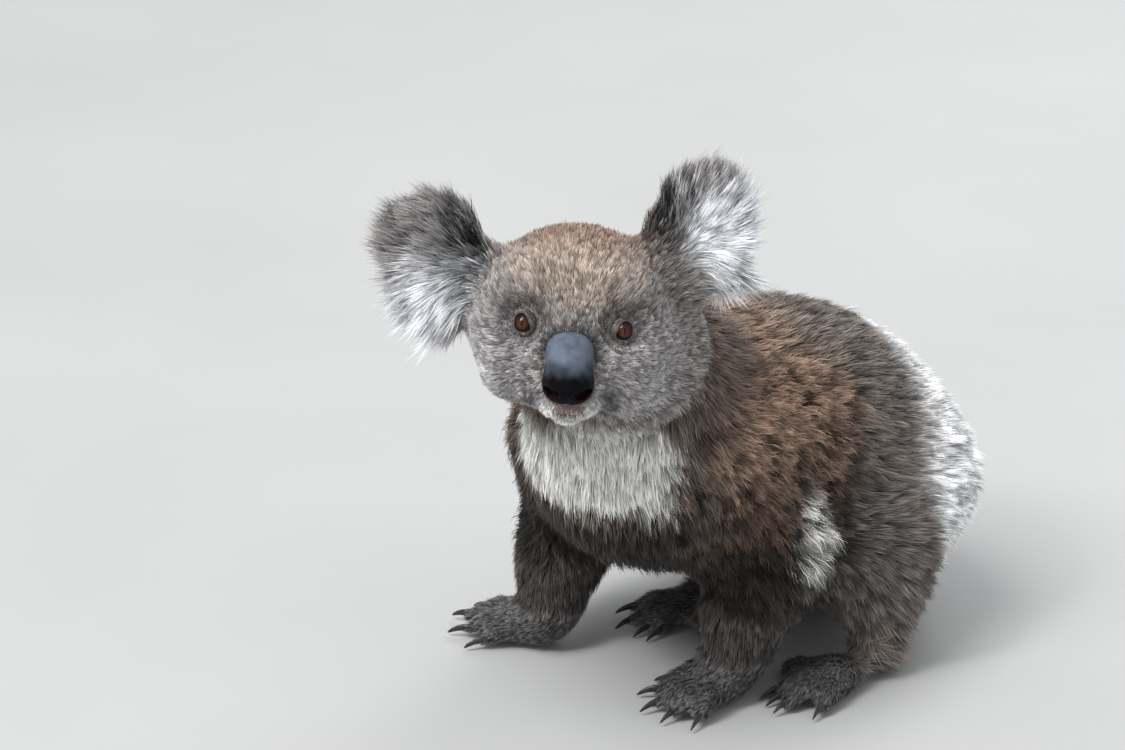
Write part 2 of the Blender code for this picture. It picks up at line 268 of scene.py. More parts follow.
def refined(mesh):
    for more in (3, 0):
        bm = bmesh.new()
        bm.from_mesh(mesh)
        centres = in_head(np.array([face.calc_center_median() for face in bm.faces]))
        chosen = near_features(centres, more)
        edges = {edge for face, near in zip(bm.faces, chosen) if near for edge in face.edges}
        bmesh.ops.subdivide_edges(bm, edges=sorted(edges, key=lambda e: e.index), cuts=1, use_grid_fill=True)
        bmesh.ops.triangulate(bm, faces=[face for face in bm.faces if len(face.verts) > 4])
        bm.to_mesh(mesh)
        bm.free()
        points = points_of(mesh)
        fine = near_features(in_head(points), more)[:, None]
        move_points(mesh, np.where(fine, eased(mesh, points, 3), points))


def bump_out(mesh, amount):
    """Move a mesh's points out along its normals by an amount in millimetres."""
    move_points(mesh, points_of(mesh) + points_of(mesh, "normal") * amount[:, None] * MM)


def off_egg(places, centre, radii):
    """How far from the middle of an egg each place is, as a share of the way to its edge."""
    return length((places - np.array(centre)) / np.array(radii))


def swell(places, centre, radii):
    """1 in the middle of an egg, falling smoothly to 0 at its edge."""
    return np.cos(np.minimum(off_egg(places, centre, radii), 1) * pi) / 2 + 0.5


def ridge(distances, width):
    """1 along a line, falling off on both sides of it over about this width."""
    return np.exp(-(distances / width) ** 2)


NOSE_HIGH, NOSE_HALF_WIDE, NOSE_HALF_TALL = -24.6, 16.7, 23.4


def nose_outline(places):
    """How far out from the middle of the nose pad each place is, seen from in front: 1 at its edge."""
    across, high = abs(places[:, 1]) / NOSE_HALF_WIDE, abs(places[:, 2] - NOSE_HIGH) / NOSE_HALF_TALL
    return (across ** 3 + high ** 3) ** (1 / 3)


MOUTH_HIGH, MOUTH_HALF, MOUTH_DROOP = -54.5, 21.0, 7  # its middle, half its width, its corners' drop


def mouth_gap(places):
    """How far above the line of the closed lips each place is, and how fully the line is there."""
    ahead, left, above = places.T
    line = MOUTH_HIGH - MOUTH_DROOP * (left / MOUTH_HALF) ** 2
    there = ramp(MOUTH_HALF + 2 - abs(left), 0, 6) * ramp(ahead, -2, 6)
    return above - line, there


CHIN_OUT, JAWS_OUT, CHEEKS_IN, NOSE_SEAT = 4.5, 5, 6, 9


def fold_face(mesh):
    """The closed lips, the groove down to them from the nose, and a crease beside each corner.
    The chin and jaws are fuller than in the solids, the cheeks flatter, and the nose has a seat."""
    places = in_head(points_of(mesh))
    gap, there = mouth_gap(places)
    lips = -1.5 * ridge(gap, 0.9) + 0.9 * ridge(gap + 3.2, 2.2)
    lips += 0.5 * ridge(gap - 3.0, 2.0)
    left = places[:, 1]
    philtrum = -0.9 * ridge(left, 0.8) * ramp(gap, -0.5, 1) * (places[:, 0] > 0)
    chin = CHIN_OUT * swell(places, (20, 0, -57), (20, 21, 11))
    crease = length((places[:, 1:] - (0, -50)) * (1 / 22, 1 / 13))
    crease = -1.4 * ridge(crease - 1, 0.09) * ramp(abs(left), 12, 18) * ramp(places[:, 0], -8, 0)
    cheeks = sum(swell(places, (-16, 66 * way, -32), (44, 26, 26)) for way in (-1, 1))
    jaws = sum(swell(places, (0, 38 * way, -60), (32, 22, 14)) for way in (-1, 1))
    bump_out(mesh, chin + JAWS_OUT * jaws - CHEEKS_IN * cheeks)
    bump_out(mesh, lips * there + philtrum * there + crease)
    places = in_head(points_of(mesh))
    places[:, 0] -= NOSE_SEAT * ramp(1 - nose_outline(places), 0.08, 0.4) * (places[:, 0] > 0)
    move_points(mesh, eye_middle + places @ HEAD.T * MM)


# A lid rings each eye: a soft roll of skin, thin and dark at its edge, that the fur comes up to.
EYE_RADIUS = 8.5
EYE_AXIS = {side: Vector((0.96, 0.17 * way, 0.10)).normalized() for side, way in (("left", 1), ("right", -1))}
# the opening: how many degrees its edge is from the eye's axis, at turns from the outer side over the
# top. It is a slanting drop, with its inner corner low and its top leaning outwards.
LID_EDGE = {
    0: 32, 45: 44, 70: 47, 90: 43, 120: 31, 150: 25, 180: 27, 205: 39, 222: 46, 250: 42, 270: 39,
    300: 39, 330: 35, 360: 32,
}
LID_OUTER = 86  # where the lid's outer row is, in the same degrees
LID_ROUND = 56
# each row of a lid: how far from its edge, out of LID_SPAN, and how many millimetres off the ball
LID_SPAN = 42
LID_PROFILE = ((42, -0.8), (36, 0.2), (30, 0.8), (22, 1.1), (14, 1.2), (7.5, 1.15), (3.5, 1.0), (1.2, 0.7),
               (0, 0.35), (0, -0.15), (1.5, -0.7))


def eye_frame(side):
    """Columns: where the eye looks, towards the animal's left, and up, in the head's frame."""
    look = EYE_AXIS[side]
    left = Vector((0, 0, 1)).cross(look).normalized()
    return np.array((look, left, look.cross(left))).T


def lid(side):
    """The points of one eye's lid, row by row from outside, and its faces."""
    way = 1 if side == "left" else -1
    points, faces = [], []
    for row, (out, off) in enumerate(LID_PROFILE):
        for step in range(LID_ROUND):
            turn = 2 * pi * step / LID_ROUND
            edge = np.interp(degrees(turn), list(LID_EDGE), list(LID_EDGE.values()))
            tilt = radians(edge + out / LID_SPAN * (LID_OUTER - edge))
            place = np.array((cos(tilt), sin(tilt) * cos(turn) * way, sin(tilt) * sin(turn)))
            points.append(from_head(*(EYES[side] + eye_frame(side) @ ((EYE_RADIUS + off) * place))))
            if row:
                a, b = (row * LID_ROUND + (step + more) % LID_ROUND for more in (0, 1))
                faces.append((a - LID_ROUND, b - LID_ROUND, b, a)[::way])
    return points, faces


SOCKET_DEEP, SOCKET_RISE = -5, 9.6  # how far ahead of the eye's middle: behind the ball, and more beside it


def set_sockets(mesh):
    """Draw the face in or out round each eye, to meet the outer side of its lid."""
    places = in_head(points_of(mesh))
    for side, eye in EYES.items():
        axes = eye_frame(side)
        local = (places - eye) @ axes
        off_axis = np.hypot(local[:, 1], local[:, 2])
        meet = SOCKET_DEEP + SOCKET_RISE * ramp(off_axis, 6.5, 9.1)
        hold = np.cos(pi * ramp(off_axis, 10, 19)) / 2 + 0.5
        local[:, 0] += hold * (local[:, 0] > -15) * (meet - local[:, 0])
        places = eye + local @ axes.T
    move_points(mesh, eye_middle + places @ HEAD.T * MM)


def with_lids(mesh):
    """The skin's mesh with both lids added at its end, and which lid row each point is in."""
    points = list(points_of(mesh))
    faces = [tuple(face.vertices) for face in mesh.polygons]
    row = [-1] * len(points)
    for side in EYES:
        more, rings = lid(side)
        faces += [tuple(corner + len(points) for corner in ring) for ring in rings]
        row += [i // LID_ROUND for i in range(len(more))]
        points += more
    return points, faces, np.array(row)


def sculpted_skin():
    body = mesh_object("body", *sunk(outline()))
    move_points(body.data, eased(body.data, points_of(body.data), EASE_ROUNDS))
    refined(body.data)
    fold_face(body.data)
    set_sockets(body.data)
    points, faces, lid_row = with_lids(body.data)
    bpy.data.objects.remove(body)
    return mesh_object("skin", points, faces), lid_row


skin, lid_row = sculpted_skin()


# ---- Markings and lie of the coat ----
# Grey-brown fur, warm tan on the crown and shoulders, pale on the rump, with a cream bib and chin and
# dark and white ears. It lies back from the nose, out along the ears and down the body to the paws.
# Skin and fur both read these, so a parting in the fur shows its own colour underneath.
places = points_of(skin.data)
outward = points_of(skin.data, "normal")
on_face = in_head(places)
ahead, left, above = on_face.T
in_mm = places / MM
across, back, high = in_mm.T
belonging = shares(places)


def unit(vectors):
    return vectors / np.maximum(length(vectors)[..., None], 1e-9)


def grain(size, seed):
    """Smooth noise from -1 to 1 at each point of the skin, with lumps of about this size in metres."""
    return np.array([noise.noise(Vector(p) / size + Vector((seed, 0, 0))) for p in places])


ragged = 0.14 * grain(0.012, 3) + 0.10 * grain(0.005, 7)


def patch(where, centre, radii, edge=0.3):
    """A soft, ragged egg: 1 inside it and 0 outside."""
    far = off_egg(where, centre, radii) + ragged
    return np.clip((1 + edge - far) / (2 * edge), 0, 1)


def on(*kinds):
    """How far each point is on these kinds of node."""
    return by_kind(belonging, {kind(node): float(kind(node) in kinds) for node in FLESH})


def own(node):
    return belonging[:, FLESH.index(node)]


TAN = (0.235, 0.150, 0.098)
GREY_BROWN = (0.265, 0.24, 0.225)
CHEEK_GREY = (0.42, 0.405, 0.415)
NAPE = (0.170, 0.122, 0.096)
PALE_GREY = (0.50, 0.49, 0.47)
SHOULDER = (0.280, 0.183, 0.130)
# a very dark brown: partly the lower shoulders' own fur, partly painted shadow there and under the body
DARK_FUR_AND_SHADE = (0.024, 0.019, 0.015)
FLANK = (0.165, 0.138, 0.118)
RUMP_PALE = (0.86, 0.86, 0.86)
BIB = (0.80, 0.80, 0.76)
EAR_BLACK = (0.018, 0.017, 0.018)
EAR_GREY = (0.30, 0.28, 0.27)
EAR_RIM = (0.20, 0.18, 0.165)
EAR_WHITE = (0.88, 0.90, 0.93)
# the forelegs' dark brown, partly painted shadow; it also paints the shade over the front of the chest
FORELEG_AND_SHADE = (0.055, 0.048, 0.042)
# the paws' grey, darker than their own colour: partly painted shade
PAW_GREY_AND_SHADE = (0.10, 0.096, 0.092)
CREAM = (0.80, 0.79, 0.75)
FOREHEAD = (0.45, 0.36, 0.29)
DARK_MARK_AND_SHADE = (0.055, 0.05, 0.052)
LIP_PINK = (0.20, 0.125, 0.115)

# for each kind of node its ground colour, how frosted its hair's tips are, how long and how broad its hair
# is in millimetres, and how much its locks differ in shade
COAT = {
    "head": (GREY_BROWN, 0.15, 9, 0.52, 1.1), "ear": (EAR_GREY, 0.25, 18, 0.50, 0.7),
    "neck": (NAPE, 0.05, 22, 0.60, 0.7), "chest": (SHOULDER, 0.04, 19, 0.65, 1.4),
    "belly": (FLANK, 0.08, 19, 0.70, 0.9), "rump": (FLANK, 0.3, 18, 0.62, 0.6),
    "upper_arm": (SHOULDER, 0, 14, 0.58, 1.75), "forearm": (FORELEG_AND_SHADE, 0.06, 11, 0.55, 0.8),
    "hand": (PAW_GREY_AND_SHADE, 0.2, 5, 0.45, 0.7), "thigh": (FLANK, 0.12, 18, 0.62, 0.9),
    "foot": (PAW_GREY_AND_SHADE, 0.2, 5, 0.45, 0.7),
}
ground = [{name: row[0][channel] for name, row in COAT.items()} for channel in range(3)]
coat = np.stack([by_kind(belonging, channel) for channel in ground], 1)
frost, long, broad, fleck = (
    by_kind(belonging, {name: row[column] for name, row in COAT.items()}) for column in range(1, 5))


def covered(ground, colour, mask):
    """Colours with another laid over them, wholly where the mask is 1."""
    return ground + (np.array(colour) - ground) * np.clip(mask, 0, 1)[:, None]


def paint(colour, mask):
    coat[:] = covered(coat, colour, mask)


# the face: tan over the crown, paler cheeks, a white chin, dark marks round the eyes and nose, and
# painted shade in the folds beside the mouth
head = on("head")
paint(TAN, head * patch(on_face, (-26, 0, 54), (50, 46, 32), 0.45))
paint(FOREHEAD, 0.85 * head * patch(on_face, (4, 0, 31), (30, 34, 20), 0.5))
for way in (-1, 1):
    paint(CHEEK_GREY, 0.85 * head * patch(on_face, (-18, 42 * way, -30), (38, 28, 32), 0.5))
    paint(PALE_GREY, (0.3 - 0.25 * way) * head * patch(on_face, (-14, 54 * way, -32), (32, 14, 19), 0.5))
    paint(DARK_MARK_AND_SHADE, 0.45 * head * patch(on_face, (4, 41 * way, 7), (16, 6, 5), 0.6))
    paint(DARK_MARK_AND_SHADE, 0.22 * head * patch(on_face, (-14, 62 * way, 2), (26, 16, 20), 0.6))
paint(PALE_GREY, 0.35 * head * patch(on_face, (14, 0, -30), (20, 27, 24), 0.4))
chin = patch(on_face, (12, 2, -67), (36, 18, 14), 0.3)
for way in (-1, 1):
    chin = np.maximum(chin, 0.9 * patch(on_face, (24, 2 + 13.5 * way, -55), (22, 5.5, 12), 0.4))
    # painted shade in the fold that runs down beside each corner of the mouth
    paint(DARK_MARK_AND_SHADE, head * patch(on_face, (10, 2 + 24.5 * way, -54), (34, 7, 15), 0.4))
chin *= head
paint(BIB, chin)
nose_edge = nose_outline(on_face) + 0.5 * ragged
nose_rim = head * (ahead > 0) * ramp(1.18 - nose_edge, 0, 0.07) * ramp(above, -30, -14)
paint(DARK_MARK_AND_SHADE, 0.95 * nose_rim)

# the bib, over the front of the neck and chest: half its breadth and its middle, in degrees round a point
# behind the throat, and how high its foot is
BIB_HALF, BIB_TURN, BIB_BEHIND, BIB_FOOT = 64, -2, 25, 158
throat = np.array(middle("neck")) / MM
round_neck = np.degrees(np.arctan2(across - throat[0], -(back - throat[1] - BIB_BEHIND)))
in_front = ramp(BIB_HALF - abs(round_neck - BIB_TURN) + 60 * ragged, 0, 12)
bib = on("neck", "chest", "upper_arm", "head") * in_front
bib *= ramp(high + 90 * ragged + 0.10 * (across - 20), BIB_FOOT, BIB_FOOT + 16) * ramp(-above, 66, 78)
paint(BIB, bib)
off_bib = 1 - bib
# darker below the shoulders, partly their own colour and partly painted shadow, and painted shade beside the
# bib, underneath and low between the forelegs; pale behind the elbows and over the rump
SHOULDER_FOOT = 204
# darker low on the shoulders: partly the fur's own colour, partly painted shadow
arm = ramp(on("upper_arm"), 0, 0.3) * off_bib
paint(DARK_FUR_AND_SHADE, arm * ramp(SHOULDER_FOOT - high + 110 * ragged, 0, 78))
# painted shade over the front of the chest and shoulders, beside the bib
breast_shade = on("upper_arm", "chest", "neck") * off_bib * ramp(-back + 60 * ragged, 58, 92)
paint(FORELEG_AND_SHADE, 0.85 * breast_shade * ramp(250 - high, 0, 60))
# painted shade under the chest and belly where they face down, and low on the chest between the forelegs
paint(DARK_FUR_AND_SHADE, 0.8 * on("chest", "belly") * off_bib * ramp(-outward[:, 2], 0.1, 0.7))
paint(DARK_FUR_AND_SHADE, 0.9 * on("chest") * off_bib * ramp(165 - high, 0, 20))
elbow = np.zeros(len(places))
for middle_x in (120, -113):
    elbow = np.maximum(elbow, on("upper_arm") * patch(in_mm, (middle_x, -8, 130), (36, 13, 32), 0.5))
paint(CREAM, elbow ** 1.5)
paint(FORELEG_AND_SHADE, 0.8 * on("chest", "belly", "thigh") * patch(in_mm, (120, 42, 116), (36, 26, 52), 0.5))
RUMP_FROM, RUMP_LEAN, RUMP_LEAST = 120, 0.47, 86  # how far back the pale begins, sooner lower down
rump_edge = np.maximum(RUMP_FROM - RUMP_LEAN * (199 - high), RUMP_LEAST)
rump = on("rump", "thigh", "belly") * ramp(back - rump_edge + 50 * ragged, -4, 22)
paint(RUMP_PALE, rump * ramp(high, 20, 60))
# The ears are black by the head, grey over the top, and white below and along the edge. For each: which way
# is outwards, its hub, how far below that the white begins, how much sooner for each millimetre outwards,
# and how far outwards and up from the hub the black's middle is.
EARS = {
    "left": (1, (-54, 76, 58), -26, 0.2, -24, 16),
    "right": (-1, (-50, -88, 30), -8, -0.5, -21, 24),
}
ear_reach, ear_low = {}, {}
ear_black, ear_crest, ear_top = np.zeros((3, len(places)))
for side, (way, hub, white_from, white_slope, black_out, black_up) in EARS.items():
    ear = own(f"ear_{side}")
    beyond = (on_face - hub) * (1, way, 1)
    front = ramp(outward @ HEAD[:, 0], -0.2, 0.5)
    below = -beyond[:, 2] + 50 * ragged - white_from
    below += white_slope * beyond[:, 1]
    ear_reach[side] = ear * length(beyond[:, 1:] / (36, 46))
    paint(EAR_RIM, ear * ramp(ear_reach[side] + ragged, 0.65, 0.95) * ramp(-below, -20, 10))
    paint(EAR_WHITE, ear * ramp(below, 0, 14) * (0.35 + 0.65 * front))
    black = front * patch(on_face, hub + np.array((0, black_out * way, black_up)), (34, 19, 29), 0.35)
    paint(EAR_BLACK, black)
    ear_black = np.maximum(ear_black, black)
    ear_low[side] = ear * ramp(-beyond[:, 2], -5, 30)
    ear_crest = np.maximum(ear_crest, ear * ramp(-beyond[:, 1], 4, 18) * ramp(beyond[:, 2], -5, 15))
    ear_top = np.maximum(ear_top, ear * ramp(beyond[:, 2] - 0.6 * abs(beyond[:, 1]), 0, 20))
# the lids' fur a little darker all over, painted shade to match the shaded fur round the eye, and darker
# still towards their edges; and a mottle over it all
paint(DARK_MARK_AND_SHADE, 0.10 * ramp(lid_row, -1, 1) + 0.4 * ramp(lid_row, 4, 6))
mottled = 0.22 + 0.45 * on("upper_arm", "chest") * off_bib + 0.14 * on("rump")
coat *= (1 + mottled * grain(0.006, 23) + 0.12 * grain(0.02, 29))[:, None]
# the hair's tips: frosted most on the rump, ears and paws, and tan on the shoulders
FROSTED, TAN_TIP = (0.74, 0.73, 0.74), (0.42, 0.295, 0.21)
tip = covered(coat, FROSTED, frost * (1 - 0.9 * ear_black))
tan_tips = 0.5 * (on("upper_arm", "chest") * ramp(high, 160, 215) * off_bib * (1 - elbow))
tip = covered(tip, TAN_TIP, tan_tips)
# bare lips in the middle, under the nose
gap, there = mouth_gap(on_face)
half_lip = 14 - 6 * ramp(-above, 46, 56)
lips = head * (ahead > 5) * ramp(half_lip - abs(left) + 12 * ragged, 0, 5)
lips *= ramp(gap, -1.5, 1.5) * ramp(-above, 42, 44)
# the line between the lips, painted dark on the hide as the shade in its groove
mouth_line = there * ridge(gap, 0.8)

# how the hair lies
combed = np.zeros_like(places)
topside = ramp(outward[:, 2], -0.3, 0.8)[:, None]
BACKWARD = np.array((0, 1.0, -0.25))


def comb(flow, *kinds):
    """Lay the hair along this flow on these kinds of node."""
    combed[:] += unit(flow) * on(*kinds)[:, None]


def comb_over(flow, *kinds):
    """Lay the hair along this flow on the sides and underneath, and backwards on the top."""
    comb(np.array(flow) * (1 - topside) + BACKWARD * topside, *kinds)


NOSE_MIDDLE = (26, 0, -24)
EAR_ROOTS = {"left": (-54, 64, 42), "right": (-54, -46, 20)}
comb((on_face - NOSE_MIDDLE) @ HEAD.T, "head")
comb_over((0, 0.12, -1.0), "neck", "chest")
comb_over((0, 0.45, -1.0), "upper_arm")
comb_over((0, 0.7, -0.7), "belly", "thigh")
comb_over((0, 0.15, -1.0), "rump")
comb(np.array((0, -0.1, -1.0)) + 0 * places, "forearm")
for side in ("left", "right"):
    for paw in ("hand", "foot"):
        claws = [middle(name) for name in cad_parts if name.startswith(f"claw_{paw}_{side}")]
        reach = np.mean(claws, 0) - middle(f"{paw}_{side}") - (0, 0, 0.004)
        combed += own(f"{paw}_{side}")[:, None] * unit(reach)
    fan = unit((on_face - EAR_ROOTS[side]) @ HEAD.T) - ear_low[side][:, None] * HEAD[:, 2] * 0.8
    combed += own(f"ear_{side}")[:, None] * unit(fan)
# it parts round each eye
eye_gap = np.full(len(places), 99.0)
for eye in EYES.values():
    from_eye = on_face - eye
    gap = length(from_eye)
    eye_gap = np.minimum(eye_gap, gap)
    combed += 2.5 * ramp(24 - gap, 0, 14)[:, None] * unit(from_eye @ HEAD.T)


def along_skin(vectors):
    return unit(vectors - outward * (vectors * outward).sum(1, keepdims=True))


COMB_ROUNDS, COMB_WAVE = 10, 0.28
combed = along_skin(eased(skin.data, along_skin(combed), COMB_ROUNDS))
combed = along_skin(combed + COMB_WAVE * np.cross(outward, combed) * grain(0.025, 11)[:, None])

# where it is longer, shorter and finer than its kind, and how far it stands up, in millimetres
fleck *= 1 - 0.8 * np.maximum(bib, chin)
rise = 0.85 * by_kind(belonging, COAT_DEPTH)
face_front = head * ramp(ahead, -45, -5)
nose_gap = length(on_face - NOSE_MIDDLE)
FACE_LONG, FACE_LONGER, FACE_BROAD = 3.2, 3.4, 0.38
long += face_front * (FACE_LONG + FACE_LONGER * ramp(nose_gap, 18, 70) - long)
broad += face_front * (FACE_BROAD - broad)
EYE_LONG, EYE_SLOPE, LIP_SHORTER = 1.5, 0.3, 1.8
long = np.minimum(long, np.where(eye_gap < 40, EYE_LONG + EYE_SLOPE * np.maximum(eye_gap - 9, 0), 99))
long -= LIP_SHORTER * lips
rise = np.minimum(rise, 0.30 * long + 0.6)
ear_rim = on("ear") * ramp(sum(ear_reach.values()), 0.5, 0.95)
long += (
    (11 - 8 * ear_top) * ear_rim + 4 * ear_crest - 3 * ear_top
    + ear_low["left"] * (6 + 18 * ear_rim) + 4 * ear_low["right"] + 7 * elbow
)
long *= 1 + 0.2 * grain(0.010, 17)

# none on the lips, the lids' edges, under the nose pad or on the soles
thick = np.where(lid_row < 0, ramp(eye_gap, 9.0, 9.8), ramp(-lid_row, -6.8, -5.5))
thick *= 1 - ramp(-outward[:, 2], 0.75, 0.9) * ramp(8 - high, 0, 3)
thick *= (1 - 0.8 * lips) * (1 - 0.8 * mouth_line)
thick *= 1 + 0.8 * ear_low["left"]
thick *= np.where(ahead > 0, ramp(nose_outline(on_face), 0.93, 1.0), 1)

# the hide is the coat darkened, partly its own darker colour and partly painted shade deep in the coat, but
# on the face nearly the coat's own colour, with bare lips and lids
HIDE_SHADE, FACE_SHADE = 0.35, 0.9
UNDER_NOSE, LID_MAUVE, LID_DARK = (0.012, 0.006, 0.006), (0.16, 0.11, 0.115), (0.012, 0.009, 0.008)
hide = covered(coat * HIDE_SHADE, coat * FACE_SHADE, face_front)
# bare lips, and the line between them painted dark as the shade in its groove
hide = covered(hide, LIP_PINK, lips) * (1 - 0.85 * mouth_line[:, None])
# painted shade under the nose pad: the hide dark where it shows through the nostrils
hide = covered(hide, UNDER_NOSE, (ahead > 0) * ramp(0.95 - nose_outline(on_face), 0, 0.05))
hide = covered(hide, LID_MAUVE, ramp(lid_row, 3, 5))
hide = covered(hide, LID_DARK, ramp(lid_row, 6, 7))


def keep(mesh, name, values, kind_of="FLOAT", domain="POINT"):
    """Store values on a mesh, where its fur and its finish read them."""
    layer = mesh.attributes.new(name, kind_of, domain)
    field = {"FLOAT_VECTOR": "vector", "FLOAT_COLOR": "color"}.get(kind_of, "value")
    number_type = np.int32 if kind_of == "INT" else np.float32
    layer.data.foreach_set(field, np.ascontiguousarray(values, number_type).ravel())


for name, colours in (("coat", coat), ("tip", tip), ("hide", hide)):
    keep(skin.data, name, np.column_stack((colours, np.ones(len(colours)))), "FLOAT_COLOR")
keep(skin.data, "combed", combed, "FLOAT_VECTOR")
for name, values in (("long", long * MM), ("rise", rise * MM), ("broad", broad * MM), ("fleck", fleck),
                     ("thick", thick)):
    keep(skin.data, name, values)

# an unwrap of the skin's own shape, where each tuft keeps its root's place
bpy.context.view_layer.objects.active = skin
skin.select_set(True)
skin.data.uv_layers.new(name="OFBake")
bpy.ops.object.mode_set(mode="EDIT")
bpy.ops.mesh.select_all(action="SELECT")
bpy.ops.uv.smart_project(angle_limit=radians(66), island_margin=0.0)
bpy.ops.object.mode_set(mode="OBJECT")


def put(tree, kind_of_node, inputs=(), output=0, **settings):
    """A node with its settings and inputs, given by name or number. Returns one of its outputs."""
    made = tree.nodes.new(kind_of_node)
    for name, value in settings.items():
        setattr(made, name, value)
    for name, value in dict(inputs).items():
        usable = [socket for socket in made.inputs if socket.enabled]
        socket = usable[name] if isinstance(name, int) else next(s for s in usable if s.name == name)
        if isinstance(value, bpy.types.NodeSocket):
            tree.links.new(value, socket)
        else:
            socket.default_value = value
    outputs = [socket for socket in made.outputs if socket.enabled]
    return outputs[output] if isinstance(output, int) else made.outputs[output]


def finish(name, surface):
    """A material whose Principled shader gets the inputs that surface(tree) returns."""
    material = bpy.data.materials.new(name)
    material.use_nodes = True
    tree = material.node_tree
    tree.nodes.clear()
    shader = put(tree, "ShaderNodeBsdfPrincipled", surface(tree))
    tree.links.new(shader, tree.nodes.new("ShaderNodeOutputMaterial").inputs["Surface"])
    return material


def read(tree, name, output="Fac"):
    return put(tree, "ShaderNodeAttribute", attribute_name=name, output=output)


def arithmetic(tree, operation, *values):
    return put(tree, "ShaderNodeMath", enumerate(values), operation=operation)


def product(tree, value, *others):
    for other in others:
        value = arithmetic(tree, "MULTIPLY", value, other)
    return value


def scaled(tree, value, factor):
    """A colour made lighter or darker, or a vector longer or shorter, by a factor."""
    return put(tree, "ShaderNodeVectorMath", {0: value, "Scale": factor}, operation="SCALE")


def mixed(tree, share, colour, other):
    """One colour where the share is 0, the other where it is 1."""
    return put(tree, "ShaderNodeMix", {"Factor": share, "A": colour, "B": other}, data_type="RGBA")


def bumpy(tree, height, strength, deep, **more):
    """A surface's normals tilted by a height, whose full range is this deep."""
    return put(tree, "ShaderNodeBump", {"Height": height, "Strength": strength, "Distance": deep, **more})


def lumps(tree, scale, detail=3.0, stretch=(1, 1, 1)):
    """Noise on the piece's own coordinates, finer as the scale rises."""
    place = put(tree, "ShaderNodeTexCoord", output="Object")
    place = put(tree, "ShaderNodeMapping", {"Vector": place, "Scale": stretch})
    return put(tree, "ShaderNodeTexNoise", {"Vector": place, "Scale": scale, "Detail": detail})


def spread(tree, value, from_low, from_high, to_low, to_high):
    return put(tree, "ShaderNodeMapRange", {
        "Value": value, "From Min": from_low, "From Max": from_high, "To Min": to_low, "To Max": to_high,
    })


def hide_surface(tree):
    fine, coarse = lumps(tree, 900), lumps(tree, 140)
    shade = arithmetic(tree, "ADD", spread(tree, fine, 0.3, 0.7, 0.35, 0.75),
                       spread(tree, coarse, 0.3, 0.7, 0.35, 0.55))
    return {
        "Base Color": scaled(tree, read(tree, "hide", "Color"), shade), "Roughness": 0.62,
        "Specular IOR Level": 0.3, "Normal": bumpy(tree, fine, 0.5, 0.6 * MM),
    }


skin.data.materials.append(finish("Hide", hide_surface))
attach(skin, "root")
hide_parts(*FLESH)


# ---- Eyes ----
# Two polished balls of painted glass: a bulging clear front over an amber-brown iris with a dark rim,
# its top painted darker as the upper lid's shadow, and the koala's upright slit of a pupil. Each sits in its
# socket behind the lids.
CORNEA_HALF, CORNEA_BULGE = 40, 0.5  # how wide the clear front is, in degrees, and how far it bulges


def eye_ball(side):
    bm = bmesh.new()
    bmesh.ops.create_icosphere(bm, subdivisions=5, radius=EYE_RADIUS)
    axes = eye_frame(side)
    local = np.array([vert.co for vert in bm.verts])
    away = np.degrees(np.arccos(np.clip(local[:, 0] / EYE_RADIUS, -1, 1)))
    bulge = CORNEA_BULGE * np.cos(np.radians(np.minimum(away / CORNEA_HALF, 1) * 90)) ** 1.5
    shaped = local * (1 + bulge / EYE_RADIUS)[:, None]
    for vert, place in zip(bm.verts, shaped):
        vert.co = from_head(*(EYES[side] + axes @ place))
    ball = object_of(bm, f"eyeball_{side}")
    keep(ball.data, "eye_place", local, "FLOAT_VECTOR")
    return ball


# half the pupil's width and height and the iris's radius and rim, in millimetres, and its colours
PUPIL_WIDE, PUPIL_TALL, IRIS_RADIUS, IRIS_RIM = 0.75, 2.8, 5.8, 1.3
DARK_AMBER, AMBER = (0.020, 0.005, 0.001, 1), (0.080, 0.020, 0.003, 1)
RIM_BROWN, PUPIL_BLACK = (0.008, 0.005, 0.004, 1), (0.002, 0.002, 0.002, 1)


def eye_surface(tree):
    place = read(tree, "eye_place", "Vector")
    split = put(tree, "ShaderNodeSeparateXYZ", {"Vector": place}, output="X").node.outputs
    across, high = split["Y"], split["Z"]
    squared = arithmetic(tree, "ADD", product(tree, across, across), product(tree, high, high))
    from_centre = arithmetic(tree, "SQRT", squared)
    turn = arithmetic(tree, "ARCTAN2", high, across)
    round_iris = put(tree, "ShaderNodeCombineXYZ", {
        "X": product(tree, arithmetic(tree, "COSINE", turn), 6.0),
        "Y": product(tree, arithmetic(tree, "SINE", turn), 6.0), "Z": product(tree, from_centre, 0.25),
    })
    spokes = put(tree, "ShaderNodeTexNoise", {"Vector": round_iris, "Scale": 2.2, "Detail": 4.0})
    amber = mixed(tree, spread(tree, spokes, 0.35, 0.65, 0, 1), DARK_AMBER, AMBER)
    pale = spread(tree, from_centre, 0.9, 4.4, 2.0, 0.3)
    # darker towards the top: a painted shadow of the upper lid
    pale = product(tree, pale, spread(tree, high, -3.0, 4.0, 1.2, 0.45))
    rim = spread(tree, from_centre, IRIS_RADIUS - IRIS_RIM, IRIS_RADIUS, 0, 1)
    amber = mixed(tree, rim, scaled(tree, amber, pale), RIM_BROWN)
    wide = arithmetic(tree, "ABSOLUTE", arithmetic(tree, "DIVIDE", across, PUPIL_WIDE))
    tall = arithmetic(tree, "DIVIDE", high, PUPIL_TALL)
    slit = arithmetic(tree, "ADD", wide, product(tree, tall, tall))
    colour = mixed(tree, spread(tree, slit, 0.8, 1.1, 0, 1), PUPIL_BLACK, amber)
    return {
        "Base Color": colour, "Roughness": 0.4, "Specular IOR Level": 0.05, "Coat Weight": 1.0,
        "Coat Roughness": 0.02, "Coat IOR": 1.35,
    }


